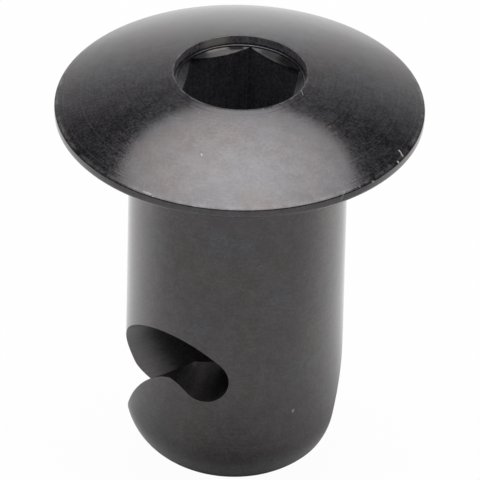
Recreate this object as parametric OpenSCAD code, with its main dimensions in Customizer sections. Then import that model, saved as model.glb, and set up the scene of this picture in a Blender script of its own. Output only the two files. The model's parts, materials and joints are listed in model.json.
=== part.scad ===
// Quarter-turn fastener stud, turned from one bar.
// A low crowned head with a hex socket sits on a plain shank. A cam slot runs
// from the nose up round the shank and drops into a round seat, where a
// spring wire locks after a quarter turn clockwise.
// Origin: stud axis at the head's underside. +Z points out of the head.

/* [Head] */
// Outer diameter of the head
head_d = 18.75; // [15:0.05:26]
// Height of the crown above the underside, before the socket is cut
head_h = 2.85; // [2.2:0.05:4.5]
// Height of the straight land round the head's edge
rim_h = 0.51; // [0.3:0.01:1.2]
// Chamfer along the lower edge of the land
rim_chamfer = 0.06; // [0.02:0.01:0.2]

/* [Socket] */
// Hex socket size across flats, 7/32 inch
hex_af = 5.556; // [4:0.001:6.4]
// Depth of the hex below the crown's height
hex_depth = 5.6; // [3:0.1:8]
// Diameter of the round recess above the hex
recess_d = 6.73; // [6.5:0.01:9]
// Depth of the recess wall below the crown's height
recess_depth = 0.76; // [0.5:0.01:1.2]
// Slope of the lead-in from the recess down to the hex
lead_in_slope = 25; // [10:1:45]
// Included angle of the drill point under the hex
drill_point = 118; // [90:1:140]

/* [Shank] */
// Diameter of the shank, 7/16 inch
shank_d = 11.112; // [9:0.001:14]
// Length of the shank from the head's underside to the end face
shank_len = 20.2; // [18:0.05:28]
// Radius between the shank and the end face
nose_round = 3.3; // [1:0.05:4.5]

/* [Cam slot] */
// Diameter of the round seat for the spring wire
seat_d = 2.7; // [2:0.01:3.2]
// Depth of the seat's axis below the head's underside, 1/2 inch
seat_depth = 12.7; // [11:0.01:14]
// Direction that the seat faces, from the front towards the right
seat_turn = -8; // [-45:0.5:45]
// Turn from the seat back to the highest point of the cam
peak_turn = 20; // [14:0.5:28]
// Height of the cam's highest point above the seat
peak_rise = 0.85; // [0.4:0.01:1.2]
// Turn from the cam's highest point to the slot's mouth in the end face
mouth_turn = 76; // [55:0.5:90]
// Width of the slot at its mouth
mouth_w = 3.25; // [2.8:0.01:4]
// How the cam falls from its highest point to the mouth: 1 is a straight line, 2 a parabola
mouth_curve = 1.78; // [1.4:0.01:2.2]

/* [Hidden] */
anodised = [0.09, 0.085, 0.09];
head_r = head_d / 2;
shank_r = shank_d / 2;
recess_r = recess_d / 2;
hex_r = hex_af / 2 / cos(30);
// How far a cutter runs past the surface that it leaves
overrun = 1;
// Steps along an arc of the profile, and facets of a full turn in a preview
arc_steps = 24;
turn_facets = 144;

// Crown: one sphere through the top of the land on both sides
crown_h = head_h - rim_h;
crown_r = (head_r * head_r + crown_h * crown_h) / (2 * crown_h);
crown_z = head_h - crown_r;
crown_angle = asin(head_r / crown_r);

// Nose: a round that meets the shank and the end face
round_r = shank_r - nose_round;
round_z = nose_round - shank_len;

// Socket heights
recess_z = head_h - recess_depth;
lead_in_z = recess_z - (recess_r - hex_af / 2) * tan(lead_in_slope);
hex_z = head_h - hex_depth;
drill_r = hex_af / 2;
drill_h = drill_r / tan(drill_point / 2);

// Cam path: the cutter's axis crosses the stud's axis at every point
seat_z = -seat_depth;
peak_z = seat_z + peak_rise;
peak_dir = seat_turn - peak_turn;
mouth_drop = shank_len + peak_z;
// The path runs on past the mouth, until the cutter has left the end face
path_overrun = 1.2;
path_steps = 96;
// The ramp into the seat is cut this much smaller than the seat
ramp_step = 0.03;
// Slices through a cam cut, and points across one side of a slice
slices = 44;
across = 8;
reach = shank_r + overrun;

// One stop of the cutter: [direction, height, radius]
mouth_path = [
    for (i = [0 : path_steps])
        let (share = path_overrun * i / path_steps)
        [
            peak_dir - mouth_turn * share,
            peak_z - mouth_drop * pow(share, mouth_curve),
            (seat_d + (mouth_w - seat_d) * share) / 2
        ]
];
ramp_path = [
    for (i = [0 : path_steps])
        let (share = i / path_steps)
        [
            peak_dir + peak_turn * share,
            peak_z - peak_rise * share * share,
            seat_d / 2 - ramp_step
        ]
];

// Half width of the cutter's strip at a height, for each stop that reaches it: [direction, half width]
function strips(path, z) = [
    for (stop = path)
        let (rest = stop[2] * stop[2] - (z - stop[1]) * (z - stop[1]))
        if (rest > 0) [stop[0], sqrt(rest)]
];

// Edge of the swept strips at a distance out along the slice's own direction
function strip_edge(cuts, middle, out) =
    max([for (cut = cuts) out * tan(cut[0] - middle) + cut[1] / cos(cut[0] - middle)]);

// Outline of the cut at one height: one edge out, and the same edge turned half round
function slice(path, z) =
    let (
        cuts = strips(path, z),
        turns = [for (cut = cuts) cut[0]],
        middle = (min(turns) + max(turns)) / 2,
        edge = [
            for (i = [0 : across])
                let (out = reach * (2 * i / across - 1))
                [out, strip_edge(cuts, middle, out)]
        ]
    )
    [
        for (side = [1, -1], p = edge)
            side * [
                p[0] * sin(middle) + p[1] * cos(middle),
                p[1] * sin(middle) - p[0] * cos(middle)
            ]
    ];

// Solid that a cutter clears along a path, from a lowest height up to its own top
module cam_cut(path, low) {
    high = max([for (stop = path) stop[1] + stop[2]]);
    ring = 2 * (across + 1);
    levels = [
        for (k = [0 : slices - 1])
            low + (high - low) * (1 - cos(180 * (k + 0.5) / slices)) / 2
    ];
    points = [for (z = levels, p = slice(path, z)) [p[0], p[1], z]];
    sides = [
        for (k = [0 : slices - 2], i = [0 : ring - 1])
            let (
                a = k * ring + i,
                b = k * ring + (i + 1) % ring
            )
            each [[a, b, a + ring], [b, b + ring, a + ring]]
    ];
    // The end faces are strips of four-sided faces, because a slice is waisted
    strips_across = [for (i = [0 : across - 1]) [i, i + 1, ring - 2 - i, ring - 1 - i]];
    roof = [for (strip = strips_across) [for (i = strip) i + (slices - 1) * ring]];
    base = [for (strip = strips_across) [for (i = [3 : -1 : 0]) strip[i]]];
    polyhedron(points, concat(sides, roof, base));
}

module turned_body() {
    crown = [
        for (i = [0 : arc_steps])
            let (a = crown_angle * i / arc_steps)
            [crown_r * sin(a), crown_z + crown_r * cos(a)]
    ];
    nose = [
        for (i = [0 : arc_steps])
            let (a = 90 * i / arc_steps)
            [round_r + nose_round * cos(a), round_z - nose_round * sin(a)]
    ];
    outline = concat(
        crown,
        [
            [head_r, rim_chamfer],
            [head_r - rim_chamfer, 0],
            [shank_r, 0]
        ],
        nose,
        [[0, -shank_len]]
    );
    rotate_extrude($fn = turn_facets) polygon(outline);
}

module hex_socket() {
    translate([0, 0, recess_z])
        cylinder(r = recess_r, h = recess_depth + overrun, $fn = turn_facets);
    translate([0, 0, lead_in_z])
        cylinder(r1 = hex_af / 2, r2 = recess_r, h = recess_z - lead_in_z, $fn = turn_facets);
    translate([0, 0, hex_z])
        rotate(30)
            cylinder(r = hex_r, h = hex_depth, $fn = 6);
    translate([0, 0, hex_z - drill_h])
        cylinder(r1 = 0, r2 = drill_r, h = drill_h, $fn = turn_facets);
}

module wire_seat() {
    translate([0, 0, seat_z])
        rotate([90, 0, seat_turn])
            cylinder(d = seat_d, h = 2 * reach, center = true, $fn = turn_facets);
}

module stud() {
    color(anodised)
        difference() {
            turned_body();
            hex_socket();
            wire_seat();
            cam_cut(ramp_path, seat_z - seat_d / 2 + ramp_step);
            cam_cut(mouth_path, -shank_len - overrun);
        }
}

stud();
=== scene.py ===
# %% [markdown]
# # A quarter-turn fastener stud in black anodised aluminium
# The real stud is turned from one bar: a low crowned head, a plain shank and a rounded
# nose. A hex socket is broached into the head, and a curved cam slot is milled through
# the shank. This lesson makes the same cuts in the same order, then finishes the metal.
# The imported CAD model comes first, because its box and its mounts hold the main sizes
# that the dressed stud has to keep.

import json
import math

import bpy
import numpy as np
from mathutils import Matrix, Vector


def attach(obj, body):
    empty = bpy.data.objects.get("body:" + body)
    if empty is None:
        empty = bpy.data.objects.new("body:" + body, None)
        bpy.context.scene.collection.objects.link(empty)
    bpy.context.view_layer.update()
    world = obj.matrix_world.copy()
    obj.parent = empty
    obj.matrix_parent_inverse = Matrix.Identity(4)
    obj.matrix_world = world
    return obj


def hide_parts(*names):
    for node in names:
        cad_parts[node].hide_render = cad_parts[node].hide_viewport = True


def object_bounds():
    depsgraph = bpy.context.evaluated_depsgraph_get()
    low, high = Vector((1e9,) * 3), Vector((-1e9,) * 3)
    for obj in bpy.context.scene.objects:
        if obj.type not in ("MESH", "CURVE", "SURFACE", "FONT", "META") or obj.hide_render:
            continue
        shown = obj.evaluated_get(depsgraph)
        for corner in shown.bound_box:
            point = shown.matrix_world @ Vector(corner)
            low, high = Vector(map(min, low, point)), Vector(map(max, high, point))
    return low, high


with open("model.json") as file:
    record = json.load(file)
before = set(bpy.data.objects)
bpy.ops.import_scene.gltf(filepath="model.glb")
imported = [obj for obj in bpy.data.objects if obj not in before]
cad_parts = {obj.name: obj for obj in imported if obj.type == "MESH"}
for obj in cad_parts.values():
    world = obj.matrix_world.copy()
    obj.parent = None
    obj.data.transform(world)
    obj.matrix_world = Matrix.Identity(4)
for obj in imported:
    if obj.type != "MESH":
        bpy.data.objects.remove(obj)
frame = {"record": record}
cad_box = [list(corner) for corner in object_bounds()]
mounts = {mount["name"]: mount for mount in frame["record"]["mounts"]}
print("CAD box in metres:", cad_box)

# %% [markdown]
# Blender works in metres and a stud is measured in millimetres, so one name turns the
# one into the other. The head's edge, the nose, the shank and the wire seat are read
# from the frame. The rest are the drawing's own sizes: the heights of the head, and the
# shape of the socket and the nose. Reading what the frame knows keeps both models alike.

# %% Sizes of the stud
mm = 0.001
low, high = cad_box
head_r = (high[0] - low[0]) / 2
nose_z = low[2]
shank_r = mounts["shank"]["dims"]["r_mm"] * mm
seat_r = mounts["wire_seat"]["dims"]["r_mm"] * mm
seat_z = mounts["wire_seat"]["pos_m"][2]
seat_axis = mounts["wire_seat"]["axis"]
seat_turn = math.atan2(seat_axis[0], -seat_axis[1])

crown_top_z = 2.85 * mm
rim_h = 0.51 * mm
recess_r = 3.365 * mm
recess_depth = 0.76 * mm
hex_flats = 5.556 * mm
hex_depth = 5.6 * mm
lead_in_slope = math.radians(25)
drill_slope = math.radians(31)
nose_round = 3.3 * mm
print(f"head {2000 * head_r:.2f} mm, shank {2000 * shank_r:.2f} mm, seat at {seat_z / mm:.2f} mm")

# %% [markdown]
# ## The turned outline
# A lathe makes everything that is round about the axis, so half of the stud's section is
# enough: from the drill point in the socket, up the recess, over the crown, down the
# shank and round the nose. Cut metal never has a perfect edge. Each corner gets a small
# radius here, because a real edge shows as a thin bright line where it catches the light.
# A bevel on the finished mesh could do the same, but it is less exact on a thin rim.

# %% Helpers for the outline
def rounded_corner(before, corner, after, radius, steps=4):
    """Points of the small arc that replaces one corner of the outline."""
    back = (Vector(before) - Vector(corner)).normalized()
    ahead = (Vector(after) - Vector(corner)).normalized()
    half = back.angle(ahead) / 2
    centre = Vector(corner) + (back + ahead).normalized() * radius / math.sin(half)
    first = Vector(corner) + back * radius / math.tan(half) - centre
    last = Vector(corner) + ahead * radius / math.tan(half) - centre
    spokes = [first.lerp(last, i / steps).normalized() for i in range(steps + 1)]
    return [centre + spoke * radius for spoke in spokes]


def arc(centre_r, centre_z, radius, start, end, steps):
    """Points of an arc in the outline, with angles from the axis towards the rim."""
    angles = np.linspace(start, end, steps + 1)
    return [(centre_r + radius * math.sin(a), centre_z + radius * math.cos(a)) for a in angles]


def stepped(points, longest):
    """The same outline with its long straight runs cut into short steps."""
    path = [Vector(points[0])]
    for point in points[1:]:
        start, run = path[-1], Vector(point) - path[-1]
        count = max(1, math.ceil(run.length / longest))
        path += [start + run * i / count for i in range(1, count + 1)]
    return path


print("a rounded corner has", len(rounded_corner((0, 1), (0, 0), (1, 0), 0.1)), "points")

# %% Crown and nose
crown_h = crown_top_z - rim_h
crown_r = (head_r**2 + crown_h**2) / (2 * crown_h)
crown_z = crown_top_z - crown_r
crown_start = math.asin(recess_r / crown_r)
crown_end = math.asin(head_r / crown_r)
crown_steps = 44
nose_steps = 24
crown = arc(0, crown_z, crown_r, crown_start, crown_end, crown_steps)
nose = arc(shank_r - nose_round, nose_z + nose_round, nose_round, math.pi / 2, math.pi, nose_steps)
print(f"crown radius {crown_r / mm:.2f} mm, nose radius {nose_round / mm:.2f} mm")

# %% Socket with its ledge and its lead-in
drill_r = hex_flats / 2
hex_z = crown_top_z - hex_depth
recess_z = crown_top_z - recess_depth
ledge_w = 0.18 * mm
ledge_lift = 0.015 * mm
ledge_round = 0.06 * mm
ledge = (recess_r - ledge_w, recess_z + ledge_lift)
ledge_foot = (ledge[0], recess_z - (recess_r - ledge[0]) * math.tan(lead_in_slope))
recess_foot = (recess_r, ledge[1])
socket = [
    (0, hex_z - drill_r * math.tan(drill_slope)),
    (drill_r, hex_z),
    (drill_r, recess_z - (recess_r - drill_r) * math.tan(lead_in_slope)),
    ledge_foot,
    *rounded_corner(ledge_foot, ledge, recess_foot, ledge_round),
    recess_foot,
]
print(f"recess {2000 * recess_r:.2f} mm across, ledge at {ledge[1] / mm:.2f} mm")

# %% Outline of the stud
edge_round = 0.02 * mm
rim_round = 0.08 * mm
burr_round = 0.2 * mm
burr_steps = 6
neck_round = 0.1 * mm
longest_step = 0.6 * mm
under_head = (head_r, 0)
neck = (shank_r, 0)
outline = stepped(
    socket
    + rounded_corner(socket[-1], crown[0], crown[1], edge_round)
    + crown[1:-1]
    + rounded_corner(crown[-2], crown[-1], under_head, rim_round)
    + rounded_corner(crown[-1], under_head, neck, burr_round, burr_steps)
    + rounded_corner(under_head, neck, nose[0], neck_round)
    + nose
    + [(0, nose_z)],
    longest_step,
)
print(len(outline), "points in the outline")

# %% [markdown]
# ## The cutters
# The cam slot is what a round cutter leaves when it climbs from the nose while the stud
# turns, passes a highest point and drops into the seat for the spring wire. The cutter
# always points at the stud's axis, so a level slice through the cut is a fan of strips
# through the centre. Stacking such slices gives a closed cutter for each half of the
# path. A Curve to Mesh sweep would be shorter, but it folds where the path is steep.

# %% Helper that makes a mesh object
def mesh_object(name, points, edges, faces):
    """A new object at the origin with its place in its mesh."""
    mesh = bpy.data.meshes.new(name)
    mesh.from_pydata([tuple(point) for point in points], edges, faces)
    mesh.update()
    made = bpy.data.objects.new(name, mesh)
    bpy.context.scene.collection.objects.link(made)
    return made


print("mesh objects go into", bpy.context.scene.collection.name)

# %% Helpers for the cam cutters
overrun = 1 * mm
slices = 150
across = 24


def cam_slice(direction, height, radius, z):
    """Outline of the cut at one height: one edge, and the same edge turned half round."""
    out = np.linspace(-1, 1, across + 1) * (shank_r + overrun)
    rest = radius**2 - (z - height) ** 2
    met = rest > 0
    middle = (direction[met].min() + direction[met].max()) / 2
    lean = direction[met] - middle
    edge = (out[:, None] * np.tan(lean) + np.sqrt(rest[met]) / np.cos(lean)).max(axis=1)
    x = out * math.sin(middle) + edge * math.cos(middle)
    y = edge * math.sin(middle) - out * math.cos(middle)
    side = np.column_stack([x, y])
    return np.column_stack([np.vstack([side, -side]), np.full(2 * len(out), z)])


def cam_cutter(name, direction, height, radius, floor_z):
    """Closed solid swept by a radial cutter whose stops have a direction, height and radius."""
    top_z = (height + radius).max()
    # The slices lie closer at the top and at the floor, where the cut is most curved
    shares = (1 - np.cos(np.pi * (np.arange(slices) + 0.5) / slices)) / 2
    levels = floor_z + (top_z - floor_z) * shares
    rings = [cam_slice(direction, height, radius, z) for z in levels]
    ring = len(rings[0])
    faces = [
        (a + i, a + ring + i, a + ring + (i + 1) % ring, a + (i + 1) % ring)
        for a in range(0, (slices - 1) * ring, ring)
        for i in range(ring)
    ]
    top = (slices - 1) * ring
    for i in range(across):
        lid = (i, i + 1, ring - 2 - i, ring - 1 - i)
        faces += [lid, tuple(top + corner for corner in reversed(lid))]
    return mesh_object(name, np.vstack(rings), [], faces)


print("a cutter has", slices, "slices with", 2 * (across + 1), "points each")

# %% Cam cutters
peak_turn = math.radians(20)
peak_rise = 0.85 * mm
mouth_turn = math.radians(76)
mouth_r = 1.625 * mm
mouth_curve = 1.78
seat_curve = 2
peak_z = seat_z + peak_rise
peak_dir = seat_turn - peak_turn

# Shares of the way from the highest point to the mouth and past it, and to the seat
past_mouth = 1.2
mouth_stops = 361
seat_stops = 121
climb = np.linspace(0, past_mouth, mouth_stops)
drop = np.linspace(0, 1, seat_stops)
mouth_cutter = cam_cutter(
    "mouth_cutter",
    peak_dir - mouth_turn * climb,
    peak_z - (peak_z - nose_z) * climb**mouth_curve,
    seat_r + (mouth_r - seat_r) * climb,
    nose_z - overrun,
)
seat_cutter = cam_cutter(
    "seat_cutter",
    peak_dir + peak_turn * drop,
    peak_z - peak_rise * drop**seat_curve,
    np.full_like(drop, seat_r),
    seat_z - seat_r,
)
print("cam cutters:", len(mouth_cutter.data.polygons), "+", len(seat_cutter.data.polygons), "faces")

# %% [markdown]
# The hex is broached into the drilled hole, with one corner towards the back. It could
# be drawn into the outline if it were round, but a lathe makes no flats, so a six-sided
# prism cuts it. The prism stops inside the recess, so that it only meets the lead-in
# cone and the hole below it.

# %% Hex cutter
hex_r = hex_flats / 2 / math.cos(math.radians(30))
hex_top = recess_z + 0.1 * mm
hex_turns = [math.radians(90 + 60 * i) for i in range(6)]
hex_points = [
    (hex_r * math.cos(turn), hex_r * math.sin(turn), z)
    for z in (hex_z, hex_top)
    for turn in hex_turns
]
hex_walls = [(i, (i + 1) % 6, 6 + (i + 1) % 6, 6 + i) for i in range(6)]
hex_ends = [(5, 4, 3, 2, 1, 0), (6, 7, 8, 9, 10, 11)]
hex_cutter = mesh_object("hex_cutter", hex_points, [], hex_walls + hex_ends)
print("hex", round(hex_flats / mm, 3), "mm across flats")

# %% [markdown]
# ## The finish
# Black anodising is a thin dyed layer of oxide on aluminium. It reflects like a clear
# dielectric, not like metal, so the shader has metallic 0 and an index of refraction
# near 1.8. A dark metallic shader would be simpler, but it would lose the pale edges
# that a dielectric shows at a glancing angle. A glossy black takes its brightness from
# what it reflects, so its own colour is almost black and only carries fine mottling.

# %% Helpers for node trees
def fill(tree, made, inputs):
    """Sets a node's inputs to values, or links them to sockets."""
    for key, value in inputs.items():
        if isinstance(value, bpy.types.NodeSocket):
            tree.links.new(value, made.inputs[key])
        else:
            made.inputs[key].default_value = value


def node(tree, kind, inputs=None, **settings):
    """A new node with its settings and its inputs."""
    made = tree.nodes.new(kind)
    for name, value in settings.items():
        setattr(made, name, value)
    fill(tree, made, inputs or {})
    return made


def calc(tree, operation, *values):
    """The result of one Math node."""
    return node(tree, "ShaderNodeMath", dict(enumerate(values)), operation=operation).outputs[0]


def vector_node(tree, operation, values):
    """The outputs of one Vector Math node."""
    return node(tree, "ShaderNodeVectorMath", dict(enumerate(values)), operation=operation).outputs


def vector_calc(tree, operation, *values):
    """The vector that one Vector Math node gives."""
    return vector_node(tree, operation, values)["Vector"]


def measure(tree, operation, *values):
    """The number that one Vector Math node gives, such as a length or a dot product."""
    return vector_node(tree, operation, values)["Value"]


def ramp(tree, value, start, end, at_start, at_end, curve="LINEAR"):
    """A value mapped from one range to another and held at the ends."""
    inputs = {
        "Value": value,
        "From Min": start,
        "From Max": end,
        "To Min": at_start,
        "To Max": at_end,
    }
    return node(tree, "ShaderNodeMapRange", inputs, interpolation_type=curve).outputs[0]


print("node helpers:", [helper.__name__ for helper in (fill, node, calc, vector_calc, measure, ramp)])

# %% Helpers for finishes
def noise(tree, place, scale, detail):
    """Soft noise on a place in metres, with its scale in waves per metre."""
    inputs = {"Vector": place, "Scale": scale, "Detail": detail}
    return node(tree, "ShaderNodeTexNoise", inputs).outputs[0]


def mixed(tree, share, first, second):
    """A number between two numbers."""
    return node(tree, "ShaderNodeMix", {0: share, 2: first, 3: second}).outputs[0]


def mixed_colour(tree, share, first, second):
    """A colour between two colours."""
    inputs = {0: share, 6: first, 7: second}
    return node(tree, "ShaderNodeMix", inputs, data_type="RGBA").outputs[2]


def weighted(tree, values, shares):
    """The sum of several numbers, each times its own share."""
    total = 0
    for value, share in zip(values, shares):
        total = calc(tree, "MULTIPLY_ADD", value, share, total)
    return total


def height_of(tree, vector):
    """The part of a vector along the stud's axis."""
    return node(tree, "ShaderNodeSeparateXYZ", {0: vector}).outputs[2]


def axis_distance(tree, place):
    """The distance of a place from the stud's axis."""
    return measure(tree, "LENGTH", vector_calc(tree, "MULTIPLY", place, (1, 1, 0)))


print("finish helpers:", [helper.__name__ for helper in (noise, mixed, mixed_colour, weighted)])

# %% [markdown]
# ## Wear
# The stud has been used. Its rim and the socket's mouth have nicks where the bright metal
# shows, the crown and the nose have a few specks, and a long thin scratch runs down the
# shank. A painted picture could hold these, but a short stroke is only a straight line
# with a width. One node group measures the distance to such a line, and every mark is a
# copy of it, so it stays sharp at any distance.

# %% Node group for one stroke
# The same group also draws the painted reflection and painted shade in the socket
# The inner part of a stroke's half width has its full strength
full_share = 0.2


def stroke_group():
    """Node group that gives a share on a straight stroke between two points and 0 beside it."""
    group = bpy.data.node_groups.new("wear_and_painted_light_stroke", "ShaderNodeTree")
    for name in ("Place", "Start", "End"):
        group.interface.new_socket(name, in_out="INPUT", socket_type="NodeSocketVector")
    for name in ("Width", "Share"):
        group.interface.new_socket(name, in_out="INPUT", socket_type="NodeSocketFloat")
    group.interface.new_socket("Mask", in_out="OUTPUT", socket_type="NodeSocketFloat")
    given = node(group, "NodeGroupInput").outputs
    run = vector_calc(group, "SUBTRACT", given["End"], given["Start"])
    out = vector_calc(group, "SUBTRACT", given["Place"], given["Start"])
    run_squared = measure(group, "DOT_PRODUCT", run, run)
    along = calc(group, "DIVIDE", measure(group, "DOT_PRODUCT", out, run), run_squared)
    on_stroke = ramp(group, along, 0.0, 1.0, 0.0, 1.0)
    nearest = vector_calc(group, "MULTIPLY_ADD", run, on_stroke, given["Start"])
    away = measure(group, "DISTANCE", given["Place"], nearest)
    full_width = calc(group, "MULTIPLY", given["Width"], full_share)
    mask = ramp(group, away, full_width, given["Width"], given["Share"], 0.0)
    node(group, "NodeGroupOutput", {0: mask})
    return group


wear_and_painted_light_stroke = stroke_group()


def stroke_mask(tree, place, stroke):
    """How much of a stroke lies at each place of the surface."""
    start, end, width, share = stroke
    inputs = {
        "Place": place,
        "Start": Vector(start) * mm,
        "End": Vector(end) * mm,
        "Width": width * mm,
        "Share": share,
    }
    return node(tree, "ShaderNodeGroup", inputs, node_tree=wear_and_painted_light_stroke).outputs[0]


print("stroke group:", [socket.name for socket in wear_and_painted_light_stroke.interface.items_tree])

# %% Worn strokes
# Start and end in mm, half width in mm, and how much bare metal shows
rim_nicks = [
    ((8.55, -2.72, 0.72), (8.76, -2.97, 0.57), 0.06, 0.9),
    ((8.60, -3.50, 0.55), (8.63, -3.53, 0.54), 0.08, 1.0),
    ((8.20, -4.01, 0.64), (8.24, -4.01, 0.62), 0.07, 0.06),
    ((7.61, -5.43, 0.51), (7.68, -5.37, 0.48), 0.07, 0.55),
    ((7.04, -6.05, 0.56), (7.07, -6.06, 0.54), 0.08, 0.25),
    ((6.38, -6.68, 0.58), (6.35, -6.88, 0.50), 0.05, 0.25),
    ((6.35, -6.88, 0.50), (6.28, -6.96, 0.33), 0.06, 0.30),
    ((-3.47, -8.55, 0.58), (-3.09, -8.72, 0.58), 0.06, 0.45),
    ((-2.95, -8.83, 0.55), (-2.94, -8.83, 0.48), 0.06, 0.35),
    ((-0.85, -9.27, 0.55), (-0.69, -9.30, 0.52), 0.06, 0.25),
]
mouth_nicks = [
    ((3.27, -1.02, 2.55), (3.40, -1.36, 2.51), 0.04, 0.3),
    ((2.87, -1.86, 2.55), (3.08, -1.44, 2.55), 0.04, 0.1),
]
crown_specks = [
    ((-0.91, -6.45, 1.76), (-0.89, -6.50, 1.74), 0.07, 0.5),
    ((-0.99, -5.61, 2.02), (-0.98, -5.66, 2.00), 0.06, 0.12),
]
shank_scratch = [
    ((1.08, -5.45, -5.43), (1.15, -5.44, -5.43), 0.07, 0.08),
    ((1.66, -5.30, -6.66), (1.76, -5.27, -6.92), 0.08, 0.02),
    ((2.52, -4.95, -7.65), (2.64, -4.89, -7.92), 0.06, 0.03),
    ((2.64, -4.89, -7.92), (2.95, -4.71, -8.22), 0.07, 0.04),
    ((2.95, -4.71, -8.22), (3.42, -4.38, -8.49), 0.07, 0.04),
    ((3.42, -4.38, -8.49), (3.88, -3.98, -8.75), 0.06, 0.03),
]
nose_specks = [
    ((3.72, -4.13, -15.05), (3.74, -4.11, -14.97), 0.07, 1.0),
    ((0.57, -5.52, -17.07), (0.59, -5.52, -17.05), 0.06, 0.12),
]
worn_strokes = rim_nicks + mouth_nicks + crown_specks + shank_scratch + nose_specks
print(len(worn_strokes), "worn strokes")

# %% [markdown]
# A paler patch on the recess wall is a painted reflection, and dark patches on the lead-in
# below it are painted shade that dims both its colour and its gloss. Both are soft strokes
# too, only wider. The edges of the head and of the socket's mouth have a pale line all
# round, partly chafed metal where the oxide is thinnest and partly a painted highlight of
# the edge. That follows the edge, so it comes from the distance to the two edge circles,
# and a slow noise breaks it up.

# %% Painted reflection and painted shade in the socket
# Written as the worn strokes are, but a painted shade's last number says how dark it is
# A paler patch painted on the recess wall, standing in for a reflection
painted_wall_reflection = ((-2.05, 2.67, 2.33), (-1.42, 3.05, 2.33), 0.5, 1.0)
# Dark patches painted on the lead-in as shade
lead_in_painted_shade = [
    ((-2.25, 2.10, 1.96), (-2.74, 1.40, 1.96), 0.45, 0.75),
    ((-0.43, 3.09, 1.98), (-0.96, 2.97, 1.98), 0.17, 0.9),
    ((0.80, 2.94, 1.94), (1.75, 2.50, 1.94), 0.4, 0.6),
    ((1.75, 2.50, 1.94), (2.56, 1.66, 1.94), 0.4, 0.74),
    ((2.90, 0.94, 1.94), (2.83, -1.14, 1.94), 0.45, 0.75),
]
print(len(lead_in_painted_shade), "stains in the lead-in")

# %% Chafed edges and painted edge highlights
edge_circles = [(*crown[-2], 0), (*crown[0], 0)]

# Distances from an edge where the pale line is full and where it is gone, and the most pale colour in
# a patch, which is partly chafed bare metal and partly a painted highlight of the edge
chafe_and_highlight_reach = (0.04 * mm, 0.12 * mm, 1.0, 0.0)
chafe_and_highlight_patches = (0.38, 0.66, 0.0, 0.13)


def chafed_and_highlighted(tree, place, cloud):
    """How much pale colour shows along the head's edge and the socket's mouth, partly chafed bare
    metal and partly a painted edge highlight.
    """
    inputs = {0: axis_distance(tree, place), 1: height_of(tree, place)}
    section = node(tree, "ShaderNodeCombineXYZ", inputs).outputs[0]
    gaps = [measure(tree, "DISTANCE", section, circle) for circle in edge_circles]
    near = ramp(tree, calc(tree, "MINIMUM", *gaps), *chafe_and_highlight_reach)
    return calc(tree, "MULTIPLY", near, ramp(tree, cloud, *chafe_and_highlight_patches))


print(len(edge_circles), "chafed edges")

# %% Shades of the socket
# The recess wall is paler than the hex below it, and the sloped lead-in is darker
wall_rise = 0.06 * mm
wall_share = 2.4
lead_in_share = 0.3
sloped_from = 0.5


def socket_share(tree, place, level):
    """How pale the coat is in each part of the socket."""
    wall = ramp(tree, height_of(tree, place), ledge[1], ledge[1] + wall_rise, 1.0, wall_share)
    sloped = calc(tree, "GREATER_THAN", level, sloped_from)
    return mixed(tree, sloped, wall, lead_in_share)


print("socket: wall", wall_share, "and lead-in", lead_in_share, "times as pale as the hex")

# %% [markdown]
# ## Tool marks, mottling and gloss
# The lathe leaves fine rings, so the turned finish reads them from the height on the
# shank and from the distance to the axis on the level faces. The cutter of the slot and
# the broach of the socket leave straight lines that point at the axis, so those two
# finishes read the angle round it. Two noises make the oxide paler and duller in places,
# and a third shifts the tint of its gloss from warm to cool. A bump picture could hold
# the marks, but noise on Object coordinates needs no unwrapping and never repeats.

# %% Tool lines
line_scale = 9000.0
line_detail = 3.0
level_from = 0.7
spoke_r = 4 * mm


def tool_lines(tree, along):
    """Fine lines across a distance in metres."""
    inputs = {"W": along, "Scale": line_scale, "Detail": line_detail}
    return node(tree, "ShaderNodeTexNoise", inputs, noise_dimensions="1D").outputs[0]


def ring_lines(tree, place, level):
    """Rings of the lathe, by height on the sides and by radius on the level faces."""
    on_level = calc(tree, "GREATER_THAN", level, level_from)
    along = mixed(tree, on_level, height_of(tree, place), axis_distance(tree, place))
    return tool_lines(tree, along)


def spoke_lines(tree, place):
    """Lines that point at the axis, as the slot's cutter and the broach leave them."""
    x, y = node(tree, "ShaderNodeSeparateXYZ", {0: place}).outputs[:2]
    turn = calc(tree, "ARCTAN2", x, calc(tree, "MULTIPLY", y, -1))
    return tool_lines(tree, calc(tree, "MULTIPLY", turn, spoke_r))


print("tool lines about", round(1 / line_scale / mm, 2), "mm apart")

# %% Tint of the gloss
warm_gloss = (1.0, 0.9, 0.885, 1)
cool_gloss = (0.955, 0.93, 0.955, 1)
hue_scale = 380.0
hue_detail = 4.0
hue_ramp = (0.36, 0.64, 0.0, 1.0)
gloss_shares = (0.5, 0.5)
gloss_ramp = (0.38, 0.62, 0.86, 1.0)


def patchy_gloss(tree, place, cloud, grain):
    """Tint of the reflections: slow patches of warm and cool, and a fine unevenness."""
    patches = ramp(tree, noise(tree, place, hue_scale, hue_detail), *hue_ramp)
    hue = mixed_colour(tree, patches, warm_gloss, cool_gloss)
    uneven = ramp(tree, weighted(tree, (cloud, grain), gloss_shares), *gloss_ramp)
    return vector_calc(tree, "MULTIPLY", hue, uneven)


print("gloss from", warm_gloss[:3], "to", cool_gloss[:3])

# %% Black anodised coat
# Pale colour of bare metal where the coat is worn, also used for a painted reflection in the socket
# and painted edge highlights
bare_metal_and_painted_light = (0.62, 0.60, 0.57, 1)
cloud_scale = 1500.0
cloud_detail = 6.0
grain_scale = 7000.0
grain_detail = 2.0
# Shares of the cloud, the grain and the tool marks in the mottling
mottle_shares = (0.25, 0.5, 0.25)
tone_ramp = (0.42, 0.74, 0.0, 1.0)
rough_from, rough_to = 0.36, 0.64
rough_spread = 0.03
relief = 0.0022 * mm
grain_relief = 0.5


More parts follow.
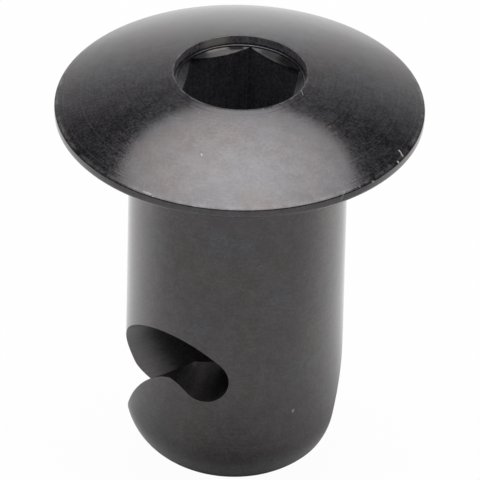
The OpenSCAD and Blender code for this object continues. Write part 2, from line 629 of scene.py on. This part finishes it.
def anodised(name, coat, ior, rough, rings=False, strokes=(), painted_shades=(), in_socket=False):
    """Black anodised aluminium with tool marks, mottling and wear, and with painted highlights,
    reflections and shade where they are given.
    """
    material = bpy.data.materials.new(name)
    material.use_nodes = True
    tree = material.node_tree
    place = node(tree, "ShaderNodeTexCoord").outputs["Object"]
    normal = node(tree, "ShaderNodeNewGeometry").outputs["Normal"]
    level = calc(tree, "ABSOLUTE", height_of(tree, normal))
    marks = ring_lines(tree, place, level) if rings else spoke_lines(tree, place)
    cloud = noise(tree, place, cloud_scale, cloud_detail)
    grain = noise(tree, place, grain_scale, grain_detail)
    mottle = weighted(tree, (cloud, grain, marks), mottle_shares)

    tint = mixed_colour(tree, ramp(tree, mottle, *tone_ramp), *coat)
    gloss = patchy_gloss(tree, place, cloud, grain)
    if in_socket:
        tint = vector_calc(tree, "MULTIPLY", tint, socket_share(tree, place, level))
    # Pale edges: partly chafed bare metal, partly a painted highlight of the edge
    if rings:
        tint = mixed_colour(tree, chafed_and_highlighted(tree, place, cloud), tint, bare_metal_and_painted_light)
    for stroke in strokes:
        tint = mixed_colour(tree, stroke_mask(tree, place, stroke), tint, bare_metal_and_painted_light)
    # Painted shade: each patch darkens both the colour and the gloss
    for shade_patch in painted_shades:
        unshaded = calc(tree, "SUBTRACT", 1, stroke_mask(tree, place, shade_patch))
        tint = vector_calc(tree, "MULTIPLY", tint, unshaded)
        gloss = vector_calc(tree, "MULTIPLY", gloss, unshaded)

    dullness = ramp(tree, mottle, rough_from, rough_to, rough - rough_spread, rough + rough_spread)
    height = calc(tree, "MULTIPLY_ADD", grain, grain_relief, marks)
    bump = node(tree, "ShaderNodeBump", {"Height": height, "Strength": 1.0, "Distance": relief})
    looks = {
        "Base Color": tint,
        "Roughness": dullness,
        "Specular Tint": gloss,
        "Normal": bump.outputs[0],
        "IOR": ior,
    }
    fill(tree, tree.nodes["Principled BSDF"], looks)
    return material


waves = [round(1 / scale / mm, 2) for scale in (cloud_scale, grain_scale)]
print("mottling: cloud and grain of", waves, "mm")

# %% Three finishes
# Dark and pale colour of each coat
turned_coat = ((0.0024, 0.0024, 0.0036, 1), (0.046, 0.0445, 0.056, 1))
milled_coat = ((0.024, 0.0225, 0.0245, 1), (0.11, 0.102, 0.104, 1))
socket_coat = ((0.06, 0.0575, 0.066, 1), (0.21, 0.2, 0.215, 1))

# The broached socket reflects less than the rest, so its index of refraction is lower
turned_finish = anodised(
    "turned_black_anodise", turned_coat, ior=1.85, rough=0.16, rings=True, strokes=worn_strokes
)
milled_finish = anodised("milled_black_anodise", milled_coat, ior=1.85, rough=0.3)
socket_finish = anodised(
    "socket_black_anodise",
    socket_coat,
    ior=1.42,
    rough=0.22,
    # The socket's stroke is a painted reflection, and its dark patches are painted shade
    strokes=[painted_wall_reflection],
    painted_shades=lead_in_painted_shade,
    in_socket=True,
)
print("finishes:", [finish.name for finish in (turned_finish, milled_finish, socket_finish)])

# %% [markdown]
# ## Turning and milling in Geometry Nodes
# The stud follows a rule, so a node tree makes it. A grid has one row of points for each
# point of the outline. Each row takes its radius and height from the outline and is
# turned round the axis, which is what a lathe does. A Screw modifier could turn it too,
# but a tree keeps the turning and the cutting in one place. Mesh Boolean then takes the
# cutters away. A face attribute remembers which faces a cutter left, so that the last
# nodes can give the slot and the socket their own finish.

# %% Nodes that turn the bar
seam_gap = 0.0005 * mm


def position(tree):
    """The place of each point or face."""
    return node(tree, "GeometryNodeInputPosition").outputs[0]


def turned_bar(tree, given):
    """The outline turned round the axis, with its seam and its poles closed."""
    columns = calc(tree, "ADD", given["Facets"], 1)
    size = {"Vertices X": given["Outline points"], "Vertices Y": columns}
    grid = node(tree, "GeometryNodeMeshGrid", size).outputs[0]
    index = node(tree, "GeometryNodeInputIndex").outputs[0]
    row = calc(tree, "FLOOR", calc(tree, "DIVIDE", calc(tree, "ADD", index, 0.5), columns))
    column = calc(tree, "SUBTRACT", index, calc(tree, "MULTIPLY", row, columns))
    turn = calc(tree, "MULTIPLY", column, calc(tree, "DIVIDE", 2 * math.pi, given["Facets"]))
    shape = node(tree, "GeometryNodeObjectInfo", {"Object": given["Outline"]}).outputs["Geometry"]
    sample = {0: shape, "Value": position(tree), "Index": row}
    point = node(tree, "GeometryNodeSampleIndex", sample, data_type="FLOAT_VECTOR").outputs[0]
    spin = {"Vector": point, "Angle": turn}
    turned = node(tree, "ShaderNodeVectorRotate", spin, rotation_type="Z_AXIS").outputs[0]
    bar = node(tree, "GeometryNodeSetPosition", {0: grid, "Position": turned}).outputs[0]
    return node(tree, "GeometryNodeMergeByDistance", {0: bar, "Distance": seam_gap}).outputs[0]


print("points of the bar merge within", seam_gap / mm, "mm")

# %% Nodes that mark and cut
milled_mark = 1
socket_mark = 2
same_mark = 0.1


def marked(tree, mesh, mark):
    """A mesh whose faces carry the mark of the tool that cuts them."""
    inputs = {0: mesh, "Name": "cut", "Value": mark}
    settings = {"data_type": "INT", "domain": "FACE"}
    return node(tree, "GeometryNodeStoreNamedAttribute", inputs, **settings).outputs[0]


def drilled_bar(tree, given):
    """The bar with its drilled socket marked, apart from the ledge, which stays turned."""
    spot = position(tree)
    z = height_of(tree, spot)
    inside = calc(tree, "LESS_THAN", axis_distance(tree, spot), given["Socket radius"])
    in_head = calc(tree, "GREATER_THAN", z, given["Socket floor"])
    on_ledge = calc(tree, "COMPARE", z, given["Ledge height"], given["Ledge depth"])
    drilled = calc(tree, "MULTIPLY", inside, in_head)
    drilled = calc(tree, "MULTIPLY", drilled, calc(tree, "SUBTRACT", 1, on_ledge))
    return marked(tree, turned_bar(tree, given), calc(tree, "MULTIPLY", drilled, socket_mark))


def cut_bar(tree, given):
    """The marked bar with the slot and the hex cut away."""
    settings = {"operation": "DIFFERENCE", "solver": "MANIFOLD"}
    cut = node(tree, "GeometryNodeMeshBoolean", {0: drilled_bar(tree, given)}, **settings)
    cutters = {"Mouth cutter": milled_mark, "Seat cutter": milled_mark, "Hex cutter": socket_mark}
    for name, mark in cutters.items():
        cutter = node(tree, "GeometryNodeObjectInfo", {"Object": given[name]}).outputs["Geometry"]
        tree.links.new(marked(tree, cutter, mark), cut.inputs[1])
    return cut.outputs[0]


print("face marks: 0 turned,", milled_mark, "milled,", socket_mark, "socket")

# %% Node tree of the stud
def finished(tree, mesh, given):
    """The cut bar with smooth faces, sharp edges and its three finishes."""
    smooth = node(tree, "GeometryNodeSetShadeSmooth", {0: mesh}, domain="FACE").outputs[0]
    angle = node(tree, "GeometryNodeInputMeshEdgeAngle").outputs[0]
    sharp = calc(tree, "GREATER_THAN", angle, given["Sharp angle"])
    edges = {0: smooth, 1: sharp, 2: False}
    creased = node(tree, "GeometryNodeSetShadeSmooth", edges, domain="EDGE").outputs[0]
    solid = node(tree, "GeometryNodeRealizeInstances", {0: creased}).outputs[0]
    piece = node(tree, "GeometryNodeSetMaterial", {0: solid, 2: given["Turned"]}).outputs[0]
    for mark, name in ((milled_mark, "Milled"), (socket_mark, "Socket")):
        cut = node(tree, "GeometryNodeInputNamedAttribute", {0: "cut"}, data_type="INT").outputs[0]
        chosen = calc(tree, "COMPARE", cut, mark, same_mark)
        piece = node(tree, "GeometryNodeSetMaterial", {0: piece, 1: chosen, 2: given[name]}).outputs[0]
    return piece


def stud_tree():
    """Node tree that turns the outline, cuts the slot and the socket, and sets the finishes."""
    tree = bpy.data.node_groups.new("stud_tree", "GeometryNodeTree")
    inputs = {
        "NodeSocketObject": ("Outline", "Mouth cutter", "Seat cutter", "Hex cutter"),
        "NodeSocketInt": ("Outline points", "Facets"),
        "NodeSocketFloat": (
            "Sharp angle", "Socket radius", "Socket floor", "Ledge height", "Ledge depth"
        ),
        "NodeSocketMaterial": ("Turned", "Milled", "Socket"),
    }
    for kind, names in inputs.items():
        for name in names:
            tree.interface.new_socket(name, in_out="INPUT", socket_type=kind)
    tree.interface.new_socket("Stud", in_out="OUTPUT", socket_type="NodeSocketGeometry")
    given = node(tree, "NodeGroupInput").outputs
    node(tree, "NodeGroupOutput", {0: finished(tree, cut_bar(tree, given), given)})
    return tree


lathe_tree = stud_tree()
print("node tree:", len(lathe_tree.nodes), "nodes")

# %% [markdown]
# The tree's inputs are set on a modifier of an empty mesh, by each socket's identifier.
# The evaluated result then becomes a plain mesh, because the modifier needs the outline
# and the cutters, and these are no part of the stud. They are deleted once it is made.

# %% Make the stud
outline_points = [(point[0], 0, point[1]) for point in outline]
outline_edges = [(i, i + 1) for i in range(len(outline) - 1)]
outline_wire = mesh_object("stud_outline", outline_points, outline_edges, [])
settings = {
    "Outline": outline_wire,
    "Mouth cutter": mouth_cutter,
    "Seat cutter": seat_cutter,
    "Hex cutter": hex_cutter,
    "Outline points": len(outline),
    "Facets": 300,
    "Sharp angle": math.radians(28),
    "Socket radius": recess_r + 0.005 * mm,
    "Socket floor": -10 * mm,
    "Ledge height": ledge[1],
    "Ledge depth": 1.1 * ledge_round,
    "Turned": turned_finish,
    "Milled": milled_finish,
    "Socket": socket_finish,
}


def grown(name, tree, settings):
    """A plain mesh object that a node tree makes from named settings."""
    seed = mesh_object(name, [], [], [])
    modifier = seed.modifiers.new("tree", "NODES")
    modifier.node_group = tree
    for item in tree.interface.items_tree:
        if item.in_out == "INPUT":
            modifier[item.identifier] = settings[item.name]
    depsgraph = bpy.context.evaluated_depsgraph_get()
    mesh = bpy.data.meshes.new_from_object(seed.evaluated_get(depsgraph), depsgraph=depsgraph)
    seed.modifiers.remove(modifier)
    for slot in reversed(range(len(mesh.materials))):
        if mesh.materials[slot] is None:
            mesh.materials.pop(index=slot)
    seed.data = mesh
    mesh.name = name
    return seed


stud = grown("turned_stud", lathe_tree, settings)
for tool in (outline_wire, mouth_cutter, seat_cutter, hex_cutter):
    bpy.data.objects.remove(tool)
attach(stud, "root")
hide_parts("stud")
triangles = sum(len(face.vertices) - 2 for face in stud.data.polygons)
print("stud:", triangles, "triangles,", [material.name for material in stud.data.materials])

# %% [markdown]
# ## Table
# The stud stands on its nose on a white table. Black gloss shows what it reflects, so the
# table matters as much as the lamp: it fills the shank and the head's edge. A table that
# is only lit would turn out grey, so it glows plain white to the camera instead, and a
# small share of its paint keeps a faint shadow. A glow isn't dimmed by what stands on it,
# so its reflection is shaded round the nose here and is brighter towards the back.

# %% Table
view_turn = math.radians(8.5)
towards_camera = Vector((math.sin(view_turn), -math.cos(view_turn), 0))
table_r = 0.4
table_sides = 96
table_points = [
    (table_r * math.cos(turn), table_r * math.sin(turn), nose_z)
    for turn in np.linspace(0, 2 * math.pi, table_sides, endpoint=False)
]
floor = mesh_object("white_table", table_points, [], [tuple(range(table_sides))])
print("table at", round(nose_z / mm, 2), "mm")

# %% Table finish
table_paint = (0.88, 0.88, 0.88, 1)
table_rough = 0.9
glow_share = 0.97

# Places before and behind the axis, and how bright the table's reflection is there
table_light = (-15 * mm, 11 * mm, 0.78, 1.28)

# Middle, inner radius, outer radius and darkest share of each shade
foot = Vector((0, 0, nose_z))
front_foot = towards_camera * 7 * mm + foot
table_shades = [
    (foot, 3.2 * mm, 5.8 * mm, 0.0),
    (foot, 4 * mm, 18 * mm, 0.46),
    (front_foot, 0.0, 8.5 * mm, 0.6),
]


def white_table():
    """White to the camera, and softly shaded round the stud's nose in reflections."""
    material = bpy.data.materials.new("white_table")
    material.use_nodes = True
    tree = material.node_tree
    paint = tree.nodes["Principled BSDF"]
    looks = {"Base Color": table_paint, "Roughness": table_rough, "Specular IOR Level": 0.0}
    fill(tree, paint, looks)
    place = node(tree, "ShaderNodeTexCoord").outputs["Object"]
    behind = measure(tree, "DOT_PRODUCT", place, -towards_camera)
    light = ramp(tree, behind, *table_light, "SMOOTHSTEP")
    for middle, inner, outer, darkest in table_shades:
        away = measure(tree, "DISTANCE", place, middle)
        shade = ramp(tree, away, inner, outer, darkest, 1.0, "SMOOTHSTEP")
        light = calc(tree, "MULTIPLY", light, shade)
    ray = node(tree, "ShaderNodeLightPath").outputs
    brightness = calc(tree, "MULTIPLY_ADD", ray["Is Glossy Ray"], light, ray["Is Camera Ray"])
    glow = node(tree, "ShaderNodeEmission", {"Strength": brightness}).outputs[0]
    seen = calc(tree, "MAXIMUM", ray["Is Camera Ray"], ray["Is Glossy Ray"])
    share = calc(tree, "MULTIPLY", seen, glow_share)
    surface = node(tree, "ShaderNodeMixShader", {0: share, 1: paint.outputs[0], 2: glow}).outputs[0]
    tree.links.new(surface, tree.nodes["Material Output"].inputs[0])
    return material


floor.data.materials.append(white_table())
print(len(table_shades), "shades on the table")

# %% [markdown]
# ## Room and softbox
# A photographer would hang one large softbox overhead, a little behind the stud, and let
# a white wall close the picture at the back. The rest of the room stays dark, which gives
# the dark sides of the head. An area lamp would light the stud as well, but a glowing
# mesh can have the tapered outline and the dim edge that the patch of light on the crown
# asks for. The wall is the world's own light, brightest straight behind the stud.

# %% Room
wall_spread = math.radians(52)
wall_light = 1.32
room_light = 0.1
room = bpy.data.worlds.new("studio")
room.use_nodes = True
bpy.context.scene.world = room


def light_room(tree):
    """A bright wall behind the stud in a dark room, with plain white for the camera."""
    direction = node(tree, "ShaderNodeTexCoord").outputs["Generated"]
    away = calc(tree, "ARCCOSINE", measure(tree, "DOT_PRODUCT", direction, -towards_camera))
    wall = ramp(tree, away, 0.0, wall_spread, wall_light, room_light)
    ray = node(tree, "ShaderNodeLightPath").outputs
    strength = calc(tree, "MAXIMUM", wall, ray["Is Camera Ray"])
    fill(tree, tree.nodes["Background"], {"Color": (1, 1, 1, 1), "Strength": strength})


light_room(room.node_tree)
print("room: wall of", wall_light, "behind the stud,", room_light, "elsewhere")

# %% Softbox
across_view = Vector((math.cos(view_turn), math.sin(view_turn), 0))
box_height = 0.5
box_back = 0.18 * box_height
box_long = 0.64 * box_height
box_wide = 0.585 * box_height
box_taper = 0.12
box_sides = 128
box_points = []
for turn in np.linspace(0, 2 * math.pi, box_sides, endpoint=False):
    backwards = box_long * math.sin(turn)
    sideways = box_wide * math.cos(turn) * (1 + box_taper * math.sin(turn))
    box_points.append(across_view * sideways - towards_camera * backwards)
softbox = mesh_object("softbox", box_points, [], [tuple(range(box_sides))])
softbox.location = Vector((0, 0, box_height)) - towards_camera * box_back
softbox.visible_camera = False
print("softbox:", round(2 * box_long, 2), "m long,", round(2 * box_wide, 2), "m wide")

# %% Softbox cloth
cloth_glow = (0.1 * box_height, 0.55 * box_height, 4.35, 2.35)


def softbox_cloth():
    """Glowing cloth that is brightest in the middle."""
    material = bpy.data.materials.new("softbox_cloth")
    material.use_nodes = True
    tree = material.node_tree
    from_middle = measure(tree, "LENGTH", node(tree, "ShaderNodeTexCoord").outputs["Object"])
    strength = ramp(tree, from_middle, *cloth_glow)
    glow = node(tree, "ShaderNodeEmission", {"Strength": strength}).outputs[0]
    tree.links.new(glow, tree.nodes["Material Output"].inputs[0])
    return material


softbox.data.materials.append(softbox_cloth())
print("cloth glows from", cloth_glow[2], "down to", cloth_glow[3])

# %% [markdown]
# ## Camera
# The photograph looks down at the stud from the front through a long lens, so the sides
# of the shank are almost parallel. The camera could track an empty, but a matrix built
# from three directions also holds the slight roll of the picture.

# %% Camera
view_rise = math.radians(33.82)
view_roll = math.radians(1.335)
view_distance = 497.2 * mm
aim_z = -7.692 * mm
aim_across = 0.173 * mm
focal_length = 737.8
film_width = 36
upright = Vector((0, 0, 1))
aim = aim_z * upright + aim_across * across_view
spot = view_distance * (math.cos(view_rise) * towards_camera + math.sin(view_rise) * upright)
ahead = (aim - spot).normalized()
right = ahead.cross(upright).normalized()
upward = right.cross(ahead)
rolled_right = math.cos(view_roll) * right + math.sin(view_roll) * upward
rolled_up = math.cos(view_roll) * upward - math.sin(view_roll) * right
lens = bpy.data.cameras.new("camera")
lens.lens = focal_length
lens.sensor_width = film_width
camera = bpy.data.objects.new("camera", lens)
looking = Matrix((rolled_right, rolled_up, -ahead)).transposed()
camera.matrix_world = Matrix.Translation(spot) @ looking.to_4x4()
bpy.context.scene.collection.objects.link(camera)
bpy.context.scene.camera = camera
bpy.context.scene.view_settings.view_transform = "Standard"
print("camera at", [round(value, 4) for value in spot])
